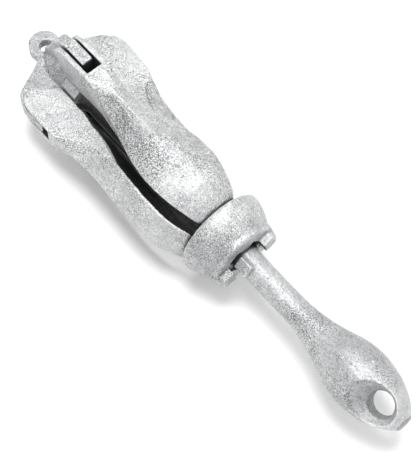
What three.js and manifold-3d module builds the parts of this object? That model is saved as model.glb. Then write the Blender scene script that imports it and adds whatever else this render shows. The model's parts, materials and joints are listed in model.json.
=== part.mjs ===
// Folding grapnel anchor with four flukes, shown folded with its sliding collar over their tips.
// Millimetres, +Z up. The shank lies along X: crown and trip eye at -X, rope eye at +X.

import * as THREE from 'three';
import { mergeVertices } from 'three/addons/utils/BufferGeometryUtils.js';
import Module from 'manifold-3d';

const wasm = await Module();
wasm.setup();

// ---- driving dimensions ----
const CLEARANCE = 0.3;

const SHANK_RADIUS = 7.8;
const SHANK_START_X = -98;
const ROUND_STEPS = 36;

// Rope eye: a swelling at the end of the shank, pierced between two of the flukes.
const EYE_HOLE_X = 139.5;
const EYE_HOLE_RADIUS = 7.4;
const EYE_THROAT_HALF = 3.4;
const EYE_COUNTERSINK_SLOPE = 0.68;
const EYE_TURN = THREE.MathUtils.degToRad(45);
// [x, radius] along the swelling, ending in the small flat at its tip.
const EYE_PROFILE = [
  [64, 7.8], [76, 8.2], [85, 9.4], [92, 10.8], [98, 12.7], [104, 14.7], [110, 16.6],
  [115, 17.6], [120, 18.0], [125, 17.9], [130, 17.2], [135, 16.1], [140, 14.6],
  [145, 12.4], [149, 10.1], [152, 7.7], [155, 4.4],
];

// Crown: four plate tongues in a cross around a square block.
const TONGUE_THICKNESS = 7.2;
const TONGUE_RADIUS = 35.6;
const TONGUE_END_X = -103.2;
const TONGUE_CORNER = 1.2;
const BLOCK_HALF = 11.5;
const BLOCK_CHAMFER = 3.6;
const BLOCK_START_X = -115;
const BLOCK_END_X = -103;

// Trip eye: the flat ring at the crown end, in the plane of two of the tongues.
const TRIP_RING_X = -145.6;
const TRIP_RING_RADIUS = 9.4;
const TRIP_HOLE_X = -143.8;
const TRIP_HOLE_RADIUS = 4.1;

// Keys on the shank that hold the collar once it is turned.
const KEY_START_X = 32;
const KEY_LENGTH = 9;
const KEY_WIDTH = 7.2;
const KEY_RADIUS = 11;

// Fluke pivots.
const PIVOT_X = -112.5;
const PIVOT_HEIGHT = 24.5;
const PIN_RADIUS = 4;

// Fluke: a clevis at the root, a ridged arm, and a spoon-shaped palm.
const CLEVIS_WIDTH = 15.7;
const SLOT_WIDTH = 9.9;
const SLOT_BOTTOM_X = -97.4;
const EAR_HEIGHT = 35.6;
const EAR_FLAT_X = -112.6;
const ARM_STEPS = 24;
const RIB_DRAFT = 0.8;
// One row per station along the arm, heights measured outwards from the shank's axis:
// [x, half width, ridge height, edge height, roundness, ridge thickness, edge thickness,
//  rib half width, rib bottom]
const CLEVIS_STATION = [-130, 7.85, 35.6, 35.6, 6.0, 22.8, 22.8, 5.2, 12.8];
const ARM_STATIONS = [
  [-92.2, 7.85, 35.6, 35.6, 6.0, 22.8, 22.8, 5.2, 12.8],
  [-87, 7.9, 34.8, 32.4, 4.0, 20.4, 18.8, 5.2, 13.1],
  [-82, 8.2, 34.1, 27.8, 2.3, 17.5, 13.2, 5.0, 13.8],
  [-77, 8.9, 33.4, 24.0, 1.5, 14.0, 9.4, 4.6, 14.8],
  [-70, 10.4, 32.8, 22.6, 1.2, 10.5, 6.4, 4.0, 16.2],
  [-62, 12.6, 32.5, 22.6, 1.2, 7.6, 3.8, 3.5, 18.0],
  [-54, 14.9, 32.6, 23.2, 1.35, 6.2, 2.2, 3.2, 20.2],
  [-46, 17.1, 32.9, 24.0, 1.5, 5.6, 1.6, 3.1, 22.4],
  [-38, 18.7, 33.2, 24.8, 1.7, 5.2, 1.5, 3.0, 24.6],
  [-30, 19.6, 33.4, 25.6, 1.9, 5.0, 1.5, 2.8, 26.6],
  [-22, 19.8, 33.3, 26.0, 2.0, 4.8, 1.5, 2.6, 27.8],
  [-14, 19.1, 32.7, 25.6, 2.0, 4.6, 1.5, 2.4, 27.4],
  [-7, 17.5, 31.2, 24.4, 2.0, 4.4, 1.5, 2.2, 26.0],
  [-1.5, 15.5, 28.6, 22.6, 2.0, 4.2, 1.5, 2.0, 23.6],
  [2.5, 13.8, 25.8, 20.6, 2.0, 4.0, 1.5, 2.0, 21.0],
  [5.6, 11.8, 23.6, 19.2, 2.0, 3.6, 1.5, 2.0, 19.2],
  [7.4, 9.6, 22.5, 19.3, 2.0, 3.0, 1.5, 2.0, 18.8],
];

// Collar: a dome open towards the crown, with two lugs on its back.
const COLLAR_RIM_X = 8;
const COLLAR_BACK_X = 30.2;
const COLLAR_BORE_RADIUS = 8.2;
const KEYWAY_WIDTH = 7.9;
const KEYWAY_RADIUS = 11.5;
const COLLAR_OUTSIDE = [
  [8, 25.4], [8.5, 26.2], [9.6, 26.8], [11.5, 26.9], [14, 26.5], [17, 25.7], [20, 24.5],
  [23, 22.9], [25.5, 21.5], [27, 20.9], [28, 20.8], [29, 20.8], [29.7, 20.3], [30.2, 19.5],
];
const COLLAR_INSIDE = [
  [8, 24.6], [10, 24.4], [13, 23.9], [16, 22.9], [19, 21.3], [21.5, 19.3], [24, 16.2], [25.6, 12.5],
];
const LUG_TURN = 15;
const LUG_START_X = 22;
// Cross-section of a lug as [height, half width], and its [x, radius] outer profile.
const LUG_SECTION = [[11, 5.5], [17.6, 5.5], [21.6, 2.9]];
const LUG_OUTSIDE = [[20, 23.4], [33.2, 20.4], [34.8, 18.8]];

// The four flukes as [side, turn about the shank from +Y, degrees folded in past the others].
const FLUKES = [
  ['right', 0, 4.5],
  ['top', 90, 0],
  ['left', 180, 0],
  ['bottom', -90, 0],
];

// ---- materials ----
function galvanisedCasting(name) {
  return new THREE.MeshStandardMaterial({ name, color: 0xb9bcbc, metalness: 0.7, roughness: 0.55 });
}

function galvanisedSteel(name) {
  return new THREE.MeshStandardMaterial({ name, color: 0xa9adae, metalness: 0.8, roughness: 0.45 });
}

// ---- solids ----
function signedVolume(positions, index) {
  const a = new THREE.Vector3();
  const b = new THREE.Vector3();
  const c = new THREE.Vector3();
  let volume = 0;
  for (let i = 0; i < index.count; i += 3) {
    a.fromBufferAttribute(positions, index.getX(i));
    b.fromBufferAttribute(positions, index.getX(i + 1));
    c.fromBufferAttribute(positions, index.getX(i + 2));
    volume += a.dot(b.cross(c)) / 6;
  }
  return volume;
}

function toSolid(geometry) {
  geometry.deleteAttribute('normal');
  geometry.deleteAttribute('uv');
  const merged = mergeVertices(geometry, 1e-4);
  const vertProperties = new Float32Array(merged.attributes.position.array);
  const triVerts = new Uint32Array(merged.index.array);
  if (signedVolume(merged.attributes.position, merged.index) < 0) {
    for (let i = 0; i < triVerts.length; i += 3) {
      [triVerts[i], triVerts[i + 1]] = [triVerts[i + 1], triVerts[i]];
    }
  }
  return new wasm.Manifold(new wasm.Mesh({ numProp: 3, vertProperties, triVerts }));
}

function toMesh(name, solid, material) {
  const result = solid.getMesh();
  const indexed = new THREE.BufferGeometry();
  indexed.setAttribute('position', new THREE.BufferAttribute(result.vertProperties, 3));
  indexed.setIndex(new THREE.BufferAttribute(result.triVerts, 1));
  const geometry = indexed.toNonIndexed();
  geometry.computeVertexNormals();
  const mesh = new THREE.Mesh(geometry, material);
  mesh.name = name;
  return mesh;
}

// A body turned about X from [x, radius] points; it is closed on the axis at both ends.
function turned(profile, steps = ROUND_STEPS) {
  const points = profile.map(([x, radius]) => new THREE.Vector2(radius, x));
  points.unshift(new THREE.Vector2(0, profile[0][0]));
  points.push(new THREE.Vector2(0, profile[profile.length - 1][0]));
  const geometry = new THREE.LatheGeometry(points, steps);
  geometry.rotateZ(-Math.PI / 2);
  return toSolid(geometry);
}

// A plate drawn in X and height, centred on its thickness, lying in the XY plane.
function plate(shape, thickness, curveSegments = 12) {
  const geometry = new THREE.ExtrudeGeometry(shape, {
    depth: thickness,
    bevelEnabled: false,
    curveSegments,
  });
  geometry.translate(0, 0, -thickness / 2);
  return geometry;
}

function box(from, to) {
  const size = to.map((high, i) => high - from[i]);
  const geometry = new THREE.BoxGeometry(...size);
  geometry.translate(...from.map((low, i) => low + size[i] / 2));
  return geometry;
}

// A round bar through a pivot, across a fluke that points along +Y.
function pivotBar(radius, length) {
  const geometry = new THREE.CylinderGeometry(radius, radius, length, 24);
  geometry.rotateX(Math.PI / 2);
  geometry.translate(PIVOT_X, PIVOT_HEIGHT, 0);
  return geometry;
}

function smoothed(points, steps) {
  const curve = new THREE.SplineCurve(points.map(([x, y]) => new THREE.Vector2(x, y)));
  return curve.getPoints(steps).map((point) => [point.x, point.y]);
}

// ---- shank casting ----
// Outline of one opposite pair of tongues, with the neck that carries the trip ring.
function tonguePairShape() {
  const shoulder = smoothed(
    [[-140.2, 9.4], [-137, 14], [-134.2, 19.4], [-130.6, 27.2], [-126.8, 32.4],
      [-119.5, TONGUE_RADIUS]],
    16,
  );
  const side = [
    [-146, 6],
    ...shoulder,
    [TONGUE_END_X - TONGUE_CORNER, TONGUE_RADIUS],
    [TONGUE_END_X - TONGUE_CORNER * 0.3, TONGUE_RADIUS - TONGUE_CORNER * 0.3],
    [TONGUE_END_X, TONGUE_RADIUS - TONGUE_CORNER],
    [TONGUE_END_X, 13],
    [-101, 9.4],
    [-97, 7],
  ];
  const mirrored = side.map(([x, y]) => [x, -y]).reverse();
  return new THREE.Shape([...side, ...mirrored].map(([x, y]) => new THREE.Vector2(x, y)));
}

function tripRing() {
  const shape = new THREE.Shape();
  shape.absarc(TRIP_RING_X, 0, TRIP_RING_RADIUS, 0, Math.PI * 2);
  return toSolid(plate(shape, TONGUE_THICKNESS, 24));
}

// Deep enough to clear the neck of the upright pair of tongues as well as the ring.
function tripHole() {
  const shape = new THREE.Shape();
  shape.absarc(TRIP_HOLE_X, 0, TRIP_HOLE_RADIUS, 0, Math.PI * 2);
  return toSolid(plate(shape, 24, 16));
}

function crownBlock() {
  const half = BLOCK_HALF;
  const corner = BLOCK_HALF - BLOCK_CHAMFER;
  const side = [[half, -corner], [half, corner]];
  const outline = [];
  for (let turn = 0; turn < 4; turn += 1) {
    for (const [x, y] of side) {
      outline.push(new THREE.Vector2(x, y).rotateAround(new THREE.Vector2(), (turn * Math.PI) / 2));
    }
  }
  const geometry = new THREE.ExtrudeGeometry(new THREE.Shape(outline), {
    depth: BLOCK_END_X - BLOCK_START_X,
    bevelEnabled: false,
  });
  geometry.rotateY(Math.PI / 2);
  geometry.translate(BLOCK_START_X, 0, 0);
  return toSolid(geometry);
}

function shankKeys() {
  const geometry = box(
    [KEY_START_X, -KEY_RADIUS, -KEY_WIDTH / 2],
    [KEY_START_X + KEY_LENGTH, KEY_RADIUS, KEY_WIDTH / 2],
  );
  geometry.rotateX(-EYE_TURN);
  return toSolid(geometry);
}

// The rope hole with a cone opening out of both of its ends.
function ropeHole() {
  const reach = 24;
  const mouth = EYE_HOLE_RADIUS + (reach - EYE_THROAT_HALF) * EYE_COUNTERSINK_SLOPE;
  const points = [
    new THREE.Vector2(0, -reach),
    new THREE.Vector2(mouth, -reach),
    new THREE.Vector2(EYE_HOLE_RADIUS, -EYE_THROAT_HALF),
    new THREE.Vector2(EYE_HOLE_RADIUS, EYE_THROAT_HALF),
    new THREE.Vector2(mouth, reach),
    new THREE.Vector2(0, reach),
  ];
  const geometry = new THREE.LatheGeometry(points, 26);
  geometry.rotateX(-EYE_TURN);
  geometry.translate(EYE_HOLE_X, 0, 0);
  return toSolid(geometry);
}

function shankCasting() {
  const rod = turned([[SHANK_START_X - 8, SHANK_RADIUS], ...smoothed(EYE_PROFILE, 22)]);
  const root = turned([
    [-143, 3.5], [-138, 7], [-132, 10], [-126, 12], [-104, 12], [-101.5, 9.6], [-97, 7.9],
  ]);
  const pair = tonguePairShape();
  const level = toSolid(plate(pair, TONGUE_THICKNESS));
  const upright = toSolid(plate(pair, TONGUE_THICKNESS).rotateX(Math.PI / 2));
  let solid = rod.add(root).add(crownBlock()).add(level).add(upright);
  solid = solid.add(tripRing()).add(shankKeys());
  solid = solid.subtract(tripHole()).subtract(ropeHole());
  const bore = toSolid(pivotBar(PIN_RADIUS + CLEARANCE, 12));
  for (const [, turn] of FLUKES) {
    solid = solid.subtract(bore.rotate([turn, 0, 0]));
  }
  return solid;
}

// ---- fluke, pointing along +Y from the shank ----
// What lies outside the slanted and rounded start of the ears.
function earStartCutter() {
  const shape = new THREE.Shape();
  shape.moveTo(-114.3, 5);
  shape.lineTo(-114.3, CLEVIS_STATION[8]);
  shape.lineTo(-124, 26.4);
  shape.quadraticCurveTo(-125.6, 34.8, EAR_FLAT_X, EAR_HEIGHT);
  shape.lineTo(EAR_FLAT_X, 42);
  shape.lineTo(-140, 42);
  shape.lineTo(-140, 5);
  return toSolid(plate(shape, CLEVIS_WIDTH + 8));
}

// Cross-section of the arm at one station, as a closed ring of [x, height, width].
function armSection(station) {
  const [x, half, ridge, edge, roundness, ridgeThick, edgeThick, ribHalf, ribBottom] = station;
  const ring = [];
  const sides = 5;
  for (let i = -sides; i <= sides; i += 1) {
    const s = i / sides;
    const fall = Math.pow(Math.abs(s), roundness);
    ring.push([x, ridge - (ridge - edge) * fall, half * s]);
  }
  const under = (z) => {
    const low = edge - edgeThick;
    const s = z / half;
    return low + (ridge - ridgeThick - low) * Math.max(0, 1 - s * s);
  };
  const foot = ribHalf + RIB_DRAFT;
  const widths = [half, (half * 2 + foot) / 3, (half + foot * 2) / 3, foot];
  const bottom = Math.min(ribBottom, under(0));
  const inner = widths.map((z) => [x, under(z), z]);
  inner.push([x, bottom, ribHalf]);
  const mirrored = inner.map(([px, py, pz]) => [px, py, -pz]).reverse();
  return [...ring, ...inner, ...mirrored];
}

function armSections() {
  const curves = ARM_STATIONS[0].map(
    (_, k) => new THREE.SplineCurve(ARM_STATIONS.map((row, i) => new THREE.Vector2(i, row[k]))),
  );
  const sections = [armSection(CLEVIS_STATION)];
  for (let i = 0; i <= ARM_STEPS; i += 1) {
    sections.push(armSection(curves.map((curve) => curve.getPoint(i / ARM_STEPS).y)));
  }
  return sections;
}

// A closed skin through rings of equal point counts, with a flat cap at each end.
function loft(sections) {
  const count = sections[0].length;
  const index = [];
  for (let i = 0; i < sections.length - 1; i += 1) {
    for (let j = 0; j < count; j += 1) {
      const a = i * count + j;
      const b = i * count + ((j + 1) % count);
      index.push(a, b, a + count, b, b + count, a + count);
    }
  }
  const caps = [[0, true], [sections.length - 1, false]];
  for (const [row, flip] of caps) {
    const start = row * count;
    for (let low = 0, high = count - 1; low < high; low += 1, high -= 1) {
      const faces = [[low, low + 1, high]];
      if (low + 1 < high - 1) faces.push([low + 1, high - 1, high]);
      for (const [a, b, c] of faces) {
        index.push(start + a, start + (flip ? c : b), start + (flip ? b : c));
      }
    }
  }
  const geometry = new THREE.BufferGeometry();
  geometry.setAttribute('position', new THREE.Float32BufferAttribute(sections.flat(2), 3));
  geometry.setIndex(index);
  return toSolid(geometry);
}

function flukeSolid() {
  const slot = toSolid(box([-135, 5, -SLOT_WIDTH / 2], [SLOT_BOTTOM_X, 45, SLOT_WIDTH / 2]));
  const bore = toSolid(pivotBar(PIN_RADIUS + CLEARANCE, CLEVIS_WIDTH + 6));
  return loft(armSections()).subtract(earStartCutter()).subtract(slot).subtract(bore);
}

function pinSolid() {
  return toSolid(pivotBar(PIN_RADIUS, CLEVIS_WIDTH));
}

// ---- collar ----
function collarLug() {
  const left = LUG_SECTION.map(([y, z]) => new THREE.Vector2(z, y));
  const right = LUG_SECTION.map(([y, z]) => new THREE.Vector2(-z, y)).reverse();
  const length = COLLAR_BACK_X + 12 - LUG_START_X;
  const geometry = new THREE.ExtrudeGeometry(new THREE.Shape([...left, ...right]), {
    depth: length,
    bevelEnabled: false,
  });
  geometry.rotateY(Math.PI / 2);
  geometry.translate(LUG_START_X, 0, 0);
  return toSolid(geometry).intersect(turned(LUG_OUTSIDE));
}

function collarSolid() {
  const outside = turned(smoothed(COLLAR_OUTSIDE, 16));
  const inside = turned([[COLLAR_RIM_X - 2, 24.7], ...COLLAR_INSIDE]);
  const bore = turned(
    [[COLLAR_RIM_X, COLLAR_BORE_RADIUS], [COLLAR_BACK_X + 8, COLLAR_BORE_RADIUS]],
    32,
  );
  const lug = collarLug();
  let solid = outside.add(lug.rotate([LUG_TURN, 0, 0])).add(lug.rotate([LUG_TURN + 180, 0, 0]));
  solid = solid.subtract(inside).subtract(bore);
  for (const turn of [EYE_TURN, -EYE_TURN]) {
    const keyway = box(
      [20, -KEYWAY_RADIUS, -KEYWAY_WIDTH / 2],
      [COLLAR_BACK_X + 8, KEYWAY_RADIUS, KEYWAY_WIDTH / 2],
    );
    solid = solid.subtract(toSolid(keyway.rotateX(turn)));
  }
  return solid;
}

// ---- assembly ----
const anchor = new THREE.Group();
anchor.name = 'folding_grapnel_anchor';
anchor.add(toMesh('shank_casting', shankCasting(), galvanisedCasting('shank_zinc')));
anchor.add(toMesh('locking_collar', collarSolid(), galvanisedCasting('collar_zinc')));

const pivot = [PIVOT_X, PIVOT_HEIGHT, 0];
const fluke = flukeSolid().translate(pivot.map((value) => -value));
const pin = pinSolid().translate(pivot.map((value) => -value));
for (const [side, turn, foldedIn] of FLUKES) {
  const place = (solid) => solid.rotate([0, 0, -foldedIn]).translate(pivot).rotate([turn, 0, 0]);
  const zinc = galvanisedCasting(`fluke_${side}_zinc`);
  const pinZinc = galvanisedSteel(`pin_${side}_zinc`);
  anchor.add(toMesh(`fluke_${side}`, place(fluke), zinc));
  anchor.add(toMesh(`pivot_pin_${side}`, place(pin), pinZinc));
}

export default anchor;
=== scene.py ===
"""Looks for the folding grapnel anchor: rough galvanised castings on a pale studio floor."""

import json
import math

import bmesh
import bpy
import numpy as np
from mathutils import Matrix, Vector


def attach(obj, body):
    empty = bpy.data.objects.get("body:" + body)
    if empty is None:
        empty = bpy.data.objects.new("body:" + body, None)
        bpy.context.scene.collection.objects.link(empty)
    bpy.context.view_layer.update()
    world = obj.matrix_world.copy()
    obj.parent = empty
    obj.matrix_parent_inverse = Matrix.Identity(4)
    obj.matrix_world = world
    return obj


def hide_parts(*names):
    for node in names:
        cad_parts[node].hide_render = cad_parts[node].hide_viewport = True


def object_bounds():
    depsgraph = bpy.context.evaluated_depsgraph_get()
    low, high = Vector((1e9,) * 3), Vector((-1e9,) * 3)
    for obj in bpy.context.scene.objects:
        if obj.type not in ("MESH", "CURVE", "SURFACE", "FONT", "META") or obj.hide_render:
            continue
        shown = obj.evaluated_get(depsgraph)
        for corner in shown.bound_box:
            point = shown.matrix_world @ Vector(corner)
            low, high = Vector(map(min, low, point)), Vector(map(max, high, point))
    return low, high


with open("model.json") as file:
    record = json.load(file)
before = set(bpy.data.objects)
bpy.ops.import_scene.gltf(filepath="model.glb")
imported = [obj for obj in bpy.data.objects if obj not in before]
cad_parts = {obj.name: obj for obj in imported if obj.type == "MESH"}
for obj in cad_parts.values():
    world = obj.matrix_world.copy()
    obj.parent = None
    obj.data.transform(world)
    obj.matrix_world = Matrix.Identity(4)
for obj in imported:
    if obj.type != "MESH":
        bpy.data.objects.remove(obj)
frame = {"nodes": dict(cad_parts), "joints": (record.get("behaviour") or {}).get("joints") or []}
cad_low, cad_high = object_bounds()
scene = bpy.context.scene
MM = 0.001

# ---- studio ----
CAMERA_AZIMUTH = 45.12
CAMERA_ELEVATION = 64.65
CAMERA_ROLL = 4.28
CAMERA_DISTANCE = 0.7535
CAMERA_LENS = 105.36
CAMERA_SENSOR = 36
CAMERA_AIM_RIGHT = 0.84 * MM
CAMERA_AIM_DOWN = 8.27 * MM

KEY_LEAN_RIGHT = -0.02
KEY_LEAN_UP = 0.04
KEY_DISTANCE = 1.5
KEY_SIZE = 0.6
KEY_POWER = 18

# The sky's brightness by the height of the direction, from the horizon's grey to white overhead.
SKY_LOW = 0.12, (0.55, 0.55, 0.555, 1)
SKY_HIGH = 0.72, (1, 1, 1, 1)

FLOOR_REACH = 6.0
FLOOR_DROP = 0.05 * MM
FLOOR_COLOUR = (0.93, 0.93, 0.93, 1)


def view_axes(azimuth, elevation, roll):
    """Right, up and back of a camera that looks at the anchor from that side."""
    a, e, r = (math.radians(x) for x in (azimuth, elevation, roll))
    back = Vector((math.sin(a) * math.cos(e), -math.cos(a) * math.cos(e), math.sin(e)))
    right = Vector((math.cos(a), math.sin(a), 0))
    up = back.cross(right)
    return (
        right * math.cos(r) + up * math.sin(r),
        up * math.cos(r) - right * math.sin(r),
        back,
    )


def linked(name, data):
    """A new object with that data, in the scene."""
    piece = bpy.data.objects.new(name, data)
    scene.collection.objects.link(piece)
    return piece


def add_camera():
    right, up, back = view_axes(CAMERA_AZIMUTH, CAMERA_ELEVATION, CAMERA_ROLL)
    target = (cad_low + cad_high) / 2 + right * CAMERA_AIM_RIGHT - up * CAMERA_AIM_DOWN
    data = bpy.data.cameras.new("camera")
    data.lens = CAMERA_LENS
    data.sensor_width = CAMERA_SENSOR
    data.clip_start = 0.05
    camera = linked("camera", data)
    turn = Matrix((right, up, back)).transposed().to_4x4()
    camera.matrix_world = Matrix.Translation(target + back * CAMERA_DISTANCE) @ turn
    scene.camera = camera


def add_key_light():
    """One large soft lamp, almost straight above."""
    right, up, _ = view_axes(CAMERA_AZIMUTH, CAMERA_ELEVATION, CAMERA_ROLL)
    direction = Vector((0, 0, 1)) + right * KEY_LEAN_RIGHT + up * KEY_LEAN_UP
    data = bpy.data.lights.new("key", "AREA")
    data.shape = "DISK"
    data.size = KEY_SIZE
    data.energy = KEY_POWER
    light = linked("key", data)
    light.location = direction.normalized() * KEY_DISTANCE
    light.rotation_mode = "QUATERNION"
    light.rotation_quaternion = (-direction).to_track_quat("-Z", "Y")


def add_sky():
    world = bpy.data.worlds.new("studio")
    world.use_nodes = True
    tree = world.node_tree
    direction = tree.nodes.new("ShaderNodeTexCoord").outputs["Generated"]
    height = tree.nodes.new("ShaderNodeSeparateXYZ")
    ramp = tree.nodes.new("ShaderNodeValToRGB")
    tree.links.new(direction, height.inputs[0])
    tree.links.new(height.outputs["Z"], ramp.inputs["Fac"])
    for element, (position, colour) in zip(ramp.color_ramp.elements, (SKY_LOW, SKY_HIGH)):
        element.position = position
        element.color = colour
    tree.links.new(ramp.outputs["Color"], tree.nodes["Background"].inputs["Color"])
    tree.nodes["Background"].inputs["Strength"].default_value = 1.0
    scene.world = world
    scene.view_settings.view_transform = "Standard"
    scene.view_settings.look = "None"


def add_floor():
    reach, z = FLOOR_REACH, cad_low.z - FLOOR_DROP
    corners = [(-reach, -reach, z), (reach, -reach, z), (reach, reach, z), (-reach, reach, z)]
    mesh = bpy.data.meshes.new("floor")
    mesh.from_pydata(corners, [], [(0, 1, 2, 3)])
    floor = linked("floor", mesh)
    material = bpy.data.materials.new("pale_floor")
    material.use_nodes = True
    shader = material.node_tree.nodes["Principled BSDF"]
    shader.inputs["Base Color"].default_value = FLOOR_COLOUR
    shader.inputs["Roughness"].default_value = 1.0
    shader.inputs["Specular IOR Level"].default_value = 0.0
    mesh.materials.append(material)


# ---- zinc ----
# Noise scales, in features per metre or so, from the widest tone changes to single grains.
CLOUD_SCALE = 30
COARSENESS_SCALE = 48
PATCH_SCALE = 120
SPANGLE_SCALE = 340
SPECKLE_SCALE = 640
PORE_SCALE = 1050
SAND_SCALE = 1900

ZINC_MIDDLE = 0.68
ZINC_METALLIC = 0.45
# How far full painted shade darkens the zinc's tone.
FULL_SHADE_SHARE = 0.16
ZINC_COLOURS = [
    (0.0, (0.012, 0.012, 0.013, 1)),
    (0.3, (0.14, 0.142, 0.147, 1)),
    (0.62, (0.44, 0.445, 0.45, 1)),
    (1.0, (0.84, 0.843, 0.842, 1)),
]
# Painted shade: skin marked for it is drawn darker as its neighbours within this reach shut out
# the open air, where shade falls.
CLOSED_SHADE_REACH = 30 * MM
CLOSED_SHADE_FULL = 0.5
CLOSED_SHADE_NONE = 0.9


class Nodes:
    """Small helper that adds and links the nodes of one material."""

    def __init__(self, name):
        self.material = bpy.data.materials.new(name)
        self.material.use_nodes = True
        self.tree = self.material.node_tree
        self.shader = self.tree.nodes["Principled BSDF"]

    def add(self, kind, **settings):
        node = self.tree.nodes.new(kind)
        for key, value in settings.items():
            setattr(node, key, value)
        return node

    def link(self, out, into):
        self.tree.links.new(out, into)

    def attribute(self, name):
        return self.add("ShaderNodeAttribute", attribute_name=name).outputs["Fac"]

    def noise(self, at, scale, detail, roughness, distortion=0.0):
        node = self.add("ShaderNodeTexNoise")
        self.link(at, node.inputs["Vector"])
        node.inputs["Scale"].default_value = scale
        node.inputs["Detail"].default_value = detail
        node.inputs["Roughness"].default_value = roughness
        node.inputs["Distortion"].default_value = distortion
        return node.outputs["Fac"]

    def spread(self, value, low, high, to_low, to_high):
        """The value moved from one range to another, and kept inside it."""
        node = self.add("ShaderNodeMapRange")
        self.link(value, node.inputs["Value"])
        node.inputs["From Min"].default_value = low
        node.inputs["From Max"].default_value = high
        node.inputs["To Min"].default_value = to_low
        node.inputs["To Max"].default_value = to_high
        return node.outputs["Result"]

    def math(self, operation, a, b):
        node = self.add("ShaderNodeMath", operation=operation)
        for socket, value in zip(node.inputs, (a, b)):
            if isinstance(value, (int, float)):
                socket.default_value = value
            else:
                self.link(value, socket)
        return node.outputs[0]

    def bump(self, height, strength, distance, normal=None):
        node = self.add("ShaderNodeBump")
        self.link(height, node.inputs["Height"])
        node.inputs["Strength"].default_value = strength
        node.inputs["Distance"].default_value = distance
        if normal is not None:
            self.link(normal, node.inputs["Normal"])
        return node.outputs["Normal"]


def zinc(name, seed, tone, grain, stretch=(1, 1, 1)):
    """Hot-dip zinc: grey clouds, spangle, bright worn high spots, dark pores, and painted shade in
    hollows.
    """
    n = Nodes(name)
    place = n.add("ShaderNodeTexCoord").outputs["Object"]
    mapping = n.add("ShaderNodeMapping")
    n.link(place, mapping.inputs["Vector"])
    mapping.inputs["Location"].default_value = (seed * 0.37, seed * 0.21, seed * 0.53)
    mapping.inputs["Scale"].default_value = stretch
    at = mapping.outputs["Vector"]

    clouds = n.noise(at, CLOUD_SCALE, 3, 0.55, 0.5)
    patches = n.noise(at, PATCH_SCALE, 4, 0.62, 0.3)
    speckle = n.noise(at, SPECKLE_SCALE, 3, 0.7)
    sand = n.noise(at, SAND_SCALE, 2, 0.65)
    pores = n.noise(at, PORE_SCALE, 2, 0.5)
    spangle = n.add("ShaderNodeTexVoronoi", feature="SMOOTH_F1")
    n.link(at, spangle.inputs["Vector"])
    spangle.inputs["Scale"].default_value = SPANGLE_SCALE
    cells = n.add("ShaderNodeSeparateColor")
    n.link(spangle.outputs["Color"], cells.inputs["Color"])

    # Wide tones, and the sand-cast grain, which is stronger in some places than in others.
    value = n.spread(clouds, 0.32, 0.68, -0.05, 0.05)
    value = n.math("ADD", value, n.spread(patches, 0.3, 0.7, -0.07, 0.07))
    value = n.math("ADD", value, n.spread(speckle, 0.28, 0.72, -0.09 * grain, 0.09 * grain))
    coarseness = n.spread(n.noise(at, COARSENESS_SCALE, 2, 0.5, 0.4), 0.42, 0.6, 0.6, 1.35)
    dull = n.attribute("dull")
    coarseness = n.math("ADD", coarseness, n.spread(dull, -1, 1, -0.5, 0.5))
    value = n.math("ADD", value, n.spread(dull, -1, 1, 0.10, -0.10))
    sanding = n.spread(sand, 0.32, 0.68, -0.33 * grain, 0.29 * grain)
    value = n.math("ADD", value, n.math("MULTIPLY", sanding, coarseness))
    value = n.math("ADD", value, n.spread(cells.outputs[0], 0, 1, -0.03, 0.03))
    value = n.math("SUBTRACT", value, n.spread(pores, 0.63, 0.72, 0, 0.3 * grain))

    # Edges are worn bright, and creases are drawn dark as painted shade.
    edge = n.add("ShaderNodeNewGeometry").outputs["Pointiness"]
    value = n.math("ADD", value, n.spread(edge, 0.44, 0.56, -0.2, 0.16))

    # Painted shade: hollows are drawn dark in any pose, and shut-in skin only while other skin is
    # close in front of it.
    openness = n.add("ShaderNodeAmbientOcclusion", samples=8)
    openness.inputs["Distance"].default_value = CLOSED_SHADE_REACH
    closed_shade = n.spread(openness.outputs["AO"], CLOSED_SHADE_FULL, CLOSED_SHADE_NONE, 1, 0)
    closed_shade = n.math("MULTIPLY", n.attribute("shade_when_closed"), closed_shade)
    painted_shade = n.math("MAXIMUM", n.attribute("painted_shade"), closed_shade)
    value = n.math("ADD", value, ZINC_MIDDLE + tone)
    value = n.math("MULTIPLY", value, n.spread(painted_shade, 0, 1, 1, FULL_SHADE_SHARE))

    ramp = n.add("ShaderNodeValToRGB")
    n.link(value, ramp.inputs["Fac"])
    first, *middle, last = ZINC_COLOURS
    for element, (position, colour) in zip(ramp.color_ramp.elements, (first, last)):
        element.position = position
        element.color = colour
    for position, colour in middle:
        ramp.color_ramp.elements.new(position).color = colour
    n.link(ramp.outputs["Color"], n.shader.inputs["Base Color"])
    n.shader.inputs["Metallic"].default_value = ZINC_METALLIC
    n.link(n.spread(patches, 0.3, 0.7, 0.44, 0.62), n.shader.inputs["Roughness"])

    coarse = n.bump(patches, 0.3, 0.5 * MM)
    fine = n.bump(speckle, 0.45 * grain, 0.3 * MM, coarse)
    sandy = n.bump(sand, 0.5 * grain, 0.25 * MM, fine)
    pitted = n.bump(n.spread(pores, 0.6, 0.72, 1, 0), 0.4 * grain, 0.2 * MM, sandy)
    n.link(pitted, n.shader.inputs["Normal"])
    return n.material


# ---- places on the castings ----
# Millimetres. A pair is where a smooth change starts and ends.
SIDES = ["right", "top", "left", "bottom"]

BARE_SHANK_STARTS = (-103.4, -101.5)
BARE_SHANK_ENDS = (30.6, 31.6)
BARE_SHANK_RADIUS = (12, 13.5)
COLLAR_SLIDES_RADIUS = (8.6, 10)

EYE_HOLE_X = 139.5
EYE_STARTS_X = 120
EYE_DISH_STARTS_X = 118
EYE_THROAT_RADIUS = (7.5, 8.1)
EYE_DISH_RADIUS = (17, 19)
EYE_DISH_EDGE = (13.5, 15.5)
EYE_DISH_LIMIT = 17.5
EYE_TIP = (153.6, 154.4)

COLLAR_BORE_RADIUS = (11.4, 12.0)
COLLAR_INSIDE_ENDS = (26, 28)

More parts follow.
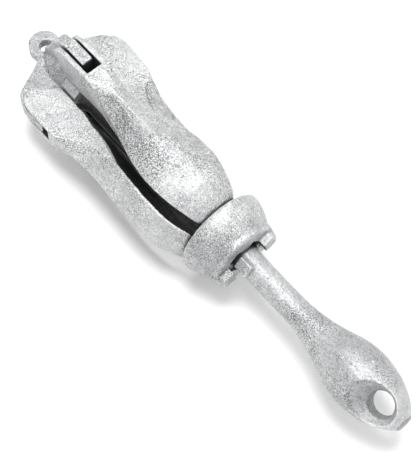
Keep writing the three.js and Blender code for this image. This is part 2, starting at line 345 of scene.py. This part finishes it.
FLUKE_INSIDE_STARTS = (-104, -94)
FLUKE_INSIDE_RADIUS = (30, 35)
PALM_TIP = (4.9, 6.4)
TONGUE_SIDE = (4.95, 5.3)
SLOT_STARTS = (-122, -115)
SLOT_ENDS = (-97.3, -96.6)
SLOT_HEIGHT = (12, 14)

PIN_BORE_RADIUS = 4.7
PIN_BORE_EDGE = (PIN_BORE_RADIUS, 6)

# The leaf ground on one flank of each arm: centre, slope as cosine and sine, half length, width.
LEAF_X = -70
LEAF_HEIGHT = 24
LEAF_COSINE = 0.94
LEAF_SINE = 0.342
LEAF_HALF_LENGTH = 16
LEAF_HALF_WIDTH = 6
LEAF_DEPTH = 0.45


def ramped(x, low, high):
    """0 below low and 1 above high, with a smooth change between."""
    t = np.clip((x - low) / (high - low), 0, 1)
    return t * t * (3 - 2 * t)


def eye_distance(co):
    """How far points are, in mm, from the rope hole's axis, which slants at 45 degrees."""
    across = (co[:, 1] + co[:, 2]) / math.sqrt(2)
    return np.hypot(co[:, 0] - EYE_HOLE_X * MM, across) / MM


def along_fluke(co, side):
    """x, width to one side and height from the shank's axis in mm, as if that fluke pointed up."""
    x, y, z = (co / MM).T
    turned = {"right": (z, y), "top": (-y, z), "left": (-z, -y), "bottom": (y, -z)}
    across, height = turned[side]
    return x, across, height


def leaf(co, side):
    """How far inside the ground leaf on one flank of the arm a point lies, in mm."""
    x, across, height = along_fluke(co, side)
    along = (x - LEAF_X) * LEAF_COSINE - (height - LEAF_HEIGHT) * LEAF_SINE
    along = along / LEAF_HALF_LENGTH
    off = np.abs((x - LEAF_X) * LEAF_SINE + (height - LEAF_HEIGHT) * LEAF_COSINE)
    inside = LEAF_HALF_WIDTH * np.sqrt(np.clip(1 - along * along, 0, 1)) - off
    return np.where((np.abs(along) < 1) & (across > 2.5), inside, -9)


def fettled(side):
    """Where the arm's flank was ground after casting: a shallow leaf with a clear edge."""
    def push(co):
        return -LEAF_DEPTH * MM * ramped(leaf(co, side), -0.3, 0.5)
    return push


def calm(co):
    """Less roughness in the pin bores and on the shank where the collar slides."""
    keep = np.ones(len(co))
    near, far = PIN_BORE_EDGE
    for joint in frame["joints"]:
        if joint["type"] != "hinge":
            continue
        axis = np.array(joint["axis"], float)
        away = co - np.array(joint["pos_m"], float)
        away -= np.outer(away @ axis, axis)
        keep *= 0.1 + 0.9 * ramped(np.linalg.norm(away, axis=1), near * MM, far * MM)
    near, far = COLLAR_SLIDES_RADIUS
    radius = np.hypot(co[:, 1], co[:, 2])
    keep *= 0.35 + 0.65 * ramped(radius, near * MM, far * MM)
    return keep


def shade_amounts(co, normal, body):
    """Two amounts of painted shade from 0 to 1: skin drawn dark in any pose, and skin drawn dark
    only where it is shut in.
    """
    x, radius = co[:, 0] / MM, np.hypot(co[:, 1], co[:, 2]) / MM
    outward = normal[:, 1] * co[:, 1] + normal[:, 2] * co[:, 2]
    outward = outward / np.maximum(radius * MM, 1e-6)
    if body == "collar":
        # Painted shade in the collar's bore and on its inner faces.
        bore = (1 - ramped(radius, *COLLAR_BORE_RADIUS)) * (1 - ramped(outward, -0.3, 0.3))
        inside = (1 - ramped(outward, -0.6, -0.1)) * (1 - ramped(x, *COLLAR_INSIDE_ENDS))
        return np.zeros(len(x)), 0.95 * np.maximum(bore, inside)
    if body == "shank":
        # Painted shade on the bare shank between the flukes, in the rope hole's throat and on the
        # eye's end facet.
        shut_shade = ramped(x, *BARE_SHANK_STARTS) * (1 - ramped(x, *BARE_SHANK_ENDS))
        shut_shade = shut_shade * (1 - ramped(radius, *BARE_SHANK_RADIUS))
        throat = 0.45 * (1 - ramped(eye_distance(co), *EYE_THROAT_RADIUS)) * (x > EYE_STARTS_X)
        fixed_shade = np.maximum(throat, 0.42 * ramped(x, *EYE_TIP))
    else:
        # Painted shade on the arms' inner faces, a painted shadow of the collar on the palm tips,
        # and a painted dark line round each ground leaf.
        inside = (1 - ramped(outward, -0.5, 0.3)) * (1 - ramped(radius, *FLUKE_INSIDE_RADIUS))
        inside = inside * ramped(x, *FLUKE_INSIDE_STARTS)
        shut_shade = np.maximum(inside, ramped(x, *PALM_TIP))
        fixed_shade = 0.34 * (1 - ramped(np.abs(leaf(co, body.split("_")[1])), 0.2, 0.9))
    # Painted shade in the slots between the tongues and the ears.
    across = np.minimum(np.abs(co[:, 1]), np.abs(co[:, 2])) / MM
    along = np.maximum(np.abs(co[:, 1]), np.abs(co[:, 2])) / MM
    slot = (1 - ramped(across, *TONGUE_SIDE)) * ramped(x, *SLOT_STARTS)
    slot = slot * ramped(along, *SLOT_HEIGHT)
    slot *= (1 - ramped(x, *SLOT_ENDS)) * (1 - ramped(outward, 0.35, 0.75))
    return fixed_shade, 0.95 * np.maximum(shut_shade, slot)


def dulled(co, body):
    """From 1 where the zinc is coarse and dull to -1 where rope and hands have worn it bright."""
    x, y, z = (co / MM).T
    if body == "shank":
        radius = np.hypot(y, z)
        dish = (1 - ramped(eye_distance(co), *EYE_DISH_RADIUS)) * (radius < EYE_DISH_LIMIT)
        edge = ramped(radius, *EYE_DISH_EDGE)
        return np.where(x > EYE_DISH_STARTS_X, -dish * (1 - edge), 0.0)
    if body == "collar":
        # On the collar: coarser and darker towards -y, smoother and brighter towards +y.
        return -0.25 + 0.95 * ramped(-y, 0, 16)
    x, side, height = along_fluke(co, body.split("_")[1])
    patch = ramped(x, -84, -66) * (1 - ramped(x, -44, -14)) * ramped(side, -1, 5)
    bright = ramped(side, -6, -1) * (1 - ramped(side, -1, 0)) + ramped(x, -40, -10)
    ears = 1 - ramped(x, -96, -88)
    return np.clip(patch - 0.3 * bright - 0.1 * ears, -1, 1) * (height > 18)


# ---- castings ----
WELD_DISTANCE = 0.002 * MM
# Bumps on the skin: size across and height in mm, from the widest to the finest.
SKIN_BUMPS = [(13, 0.20), (5, 0.11), (2.2, 0.05)]
PIT_SIZE = 3.4
PIT_DEPTH = 0.16

# The ends of each pin bore are closed flush by the peened pin and the zinc over it.
PLUG_OFFSET = 6.95
PLUG_LENGTH = 1.8
PLUG_STEPS = 40


def lattice_noise(points, size, seed):
    """Smooth noise of about -1 to 1 with bumps that size across, in metres."""
    p = points / size + seed * 17.31
    base = np.floor(p).astype(np.int64)
    f = p - base
    w = f * f * f * (f * (f * 6 - 15) + 10)
    total = np.zeros(len(p))
    for corner in range(8):
        step = np.array([corner & 1, corner >> 1 & 1, corner >> 2 & 1])
        cell = base + step
        h = cell[:, 0] * 374761393 + cell[:, 1] * 668265263 + cell[:, 2] * 1440662683
        h = h + seed * 1013
        h = (h ^ (h >> 13)) * 1274126177
        h = h ^ (h >> 16)
        slope = np.stack([(h >> shift & 1023) / 511.5 - 1 for shift in (0, 10, 20)], axis=1)
        total += np.prod(np.where(step, w, 1 - w), axis=1) * np.sum(slope * (f - step), axis=1)
    return total * 1.6


def mesh_array(items, name):
    """One vector for each item of a mesh, as rows."""
    values = np.empty(len(items) * 3, np.float32)
    items.foreach_get(name, values)
    return values.reshape(-1, 3).astype(float)


def move_to(mesh, co):
    mesh.vertices.foreach_set("co", co.astype(np.float32).ravel())


def closed_copy(node, name, plugs):
    """A copy of a CAD node as a new object, with plugs in the ends of its pin bores."""
    mesh = frame["nodes"][node].data.copy()
    mesh.materials.clear()
    whole = bmesh.new()
    whole.from_mesh(mesh)
    bmesh.ops.remove_doubles(whole, verts=whole.verts, dist=WELD_DISTANCE)
    for centre, axis in plugs:
        turn = axis.to_track_quat("Z", "Y").to_matrix().to_4x4()
        bmesh.ops.create_cone(
            whole,
            cap_ends=True,
            segments=PLUG_STEPS,
            radius1=PIN_BORE_RADIUS * MM,
            radius2=PIN_BORE_RADIUS * MM,
            depth=PLUG_LENGTH * MM,
            matrix=Matrix.Translation(centre) @ turn,
        )
    whole.to_mesh(mesh)
    whole.free()
    return linked(name, mesh)


def remesh(piece, voxel, rounding):
    """Makes a piece's mesh dense and even, and rounds its edges."""
    voxels = piece.modifiers.new("voxels", "REMESH")
    voxels.mode = "VOXEL"
    voxels.voxel_size = voxel * MM
    worn = piece.modifiers.new("rounded", "SMOOTH")
    worn.factor = 0.5
    worn.iterations = rounding
    graph = bpy.context.evaluated_depsgraph_get()
    mesh = bpy.data.meshes.new_from_object(piece.evaluated_get(graph))
    piece.modifiers.clear()
    piece.data = mesh


def roughen(mesh, seed, rough):
    """Gives a mesh the waves and pits of sand casting, and keeps it inside the CAD box."""
    co = mesh_array(mesh.vertices, "co")
    normal = mesh_array(mesh.vertex_normals, "vector")
    push = np.zeros(len(co))
    for step, (size, height) in enumerate(SKIN_BUMPS):
        push += height * lattice_noise(co, size * MM, seed + step)
    pits = ramped(lattice_noise(co, PIT_SIZE * MM, seed + len(SKIN_BUMPS)), 0.42, 0.75)
    push = (push * rough - PIT_DEPTH * rough * pits) * calm(co)
    co += normal * (push * MM)[:, None]
    move_to(mesh, np.clip(co, np.array(cad_low), np.array(cad_high)))


def mark(mesh, body):
    """Writes the attributes that the zinc reads."""
    co = mesh_array(mesh.vertices, "co")
    normal = mesh_array(mesh.vertex_normals, "vector")
    # Painted shade amounts for the zinc, and how dull or worn it is.
    painted_shade, shade_when_closed = shade_amounts(co, normal, body)
    values = {"painted_shade": painted_shade, "shade_when_closed": shade_when_closed, "dull": dulled(co, body)}
    for name, amounts in values.items():
        attribute = mesh.attributes.new(name, "FLOAT", "POINT")
        attribute.data.foreach_set("value", amounts.astype(np.float32))


def cast_piece(node, name, body, seed, voxel, rounding, rough, sculpt=None, plugs=()):
    """A dense copy of a CAD node with rounded edges and a cast surface, standing for that node."""
    piece = closed_copy(node, name, plugs)
    remesh(piece, voxel, rounding)
    mesh = piece.data
    if sculpt is not None:
        co = mesh_array(mesh.vertices, "co")
        move_to(mesh, co + mesh_array(mesh.vertex_normals, "vector") * sculpt(co)[:, None])
        mesh.update()
    roughen(mesh, seed, rough)
    mesh.polygons.foreach_set("use_smooth", np.ones(len(mesh.polygons), bool))
    mark(mesh, body)
    mesh.update()
    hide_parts(node)
    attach(piece, body)
    return piece


def hinge_of(side):
    """The axis and centre of one fluke's hinge."""
    joint = next(j for j in frame["joints"] if j["child"] == f"fluke_{side}_body")
    return Vector(joint["axis"]).normalized(), Vector(joint["pos_m"])


def build_castings():
    shank = cast_piece("shank_casting", "shank", "shank", 3, 0.52, 3, 0.8)
    shank.data.materials.append(zinc("shank_zinc", 1, -0.08, 0.85, (0.7, 1, 1)))
    collar = cast_piece("locking_collar", "collar", "collar", 11, 0.42, 4, 0.8)
    collar.data.materials.append(zinc("collar_zinc", 5, -0.02, 1.0))
    for i, side in enumerate(SIDES):
        axis, pivot = hinge_of(side)
        plugs = [(pivot + axis * way * PLUG_OFFSET * MM, axis) for way in (1, -1)]
        fluke = cast_piece(
            f"fluke_{side}", f"fluke_{side}_cast", f"fluke_{side}_body",
            21 + i * 7, 0.44, 4, 1.1, fettled(side), plugs,
        )
        fluke.data.materials.append(zinc(f"fluke_{side}_zinc", 9 + i * 4, -0.02, 1.15))


# ---- pins ----
# Half of a pin's outline in mm, as radius and distance from its middle, rounded at the end.
PIN_HALF = [
    (0, 5.95), (2.0, 5.93), (3.3, 5.8), (3.8, 5.5), (4.0, 5.0), (4.0, 4.0), (4.0, 2.0), (4.0, 0.0),
]
PIN_STEPS = 48


def turned_mesh(name, outline, axis, centre, steps):
    """A closed mesh turned about an axis from an outline whose two ends lie on that axis."""
    across = axis.orthogonal().normalized()
    other = axis.cross(across)
    vertices = [centre + axis * outline[0][1] * MM]
    for r, z in outline[1:-1]:
        for k in range(steps):
            a = 2 * math.pi * k / steps
            ring = across * math.cos(a) + other * math.sin(a)
            vertices.append(centre + (ring * r + axis * z) * MM)
    vertices.append(centre + axis * outline[-1][1] * MM)

    faces = [(0, 1 + k, 1 + (k + 1) % steps) for k in range(steps)]
    rows = len(outline) - 2
    for row in range(rows - 1):
        for k in range(steps):
            a, b = 1 + row * steps + k, 1 + row * steps + (k + 1) % steps
            faces.append((a, a + steps, b + steps, b))
    last, start = len(vertices) - 1, 1 + (rows - 1) * steps
    faces += [(last, start + (k + 1) % steps, start + k) for k in range(steps)]

    mesh = bpy.data.meshes.new(name)
    mesh.from_pydata(vertices, [], faces)
    mesh.polygons.foreach_set("use_smooth", np.ones(len(faces), bool))
    return mesh


def build_pins():
    """Pins across the clevis slots, with their rounded ends behind the zinc on the ears."""
    outline = PIN_HALF + [(r, -z) for r, z in reversed(PIN_HALF[:-1])]
    for i, side in enumerate(SIDES):
        axis, centre = hinge_of(side)
        mesh = turned_mesh(f"pin_{side}", outline, axis, centre, PIN_STEPS)
        pin = linked(f"pin_{side}", mesh)
        mesh.materials.append(zinc(f"pin_{side}_zinc", 31 + i, 0.0, 0.9))
        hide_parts(f"pivot_pin_{side}")
        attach(pin, f"fluke_{side}_body")


add_camera()
add_key_light()
add_sky()
add_floor()
build_castings()
build_pins()
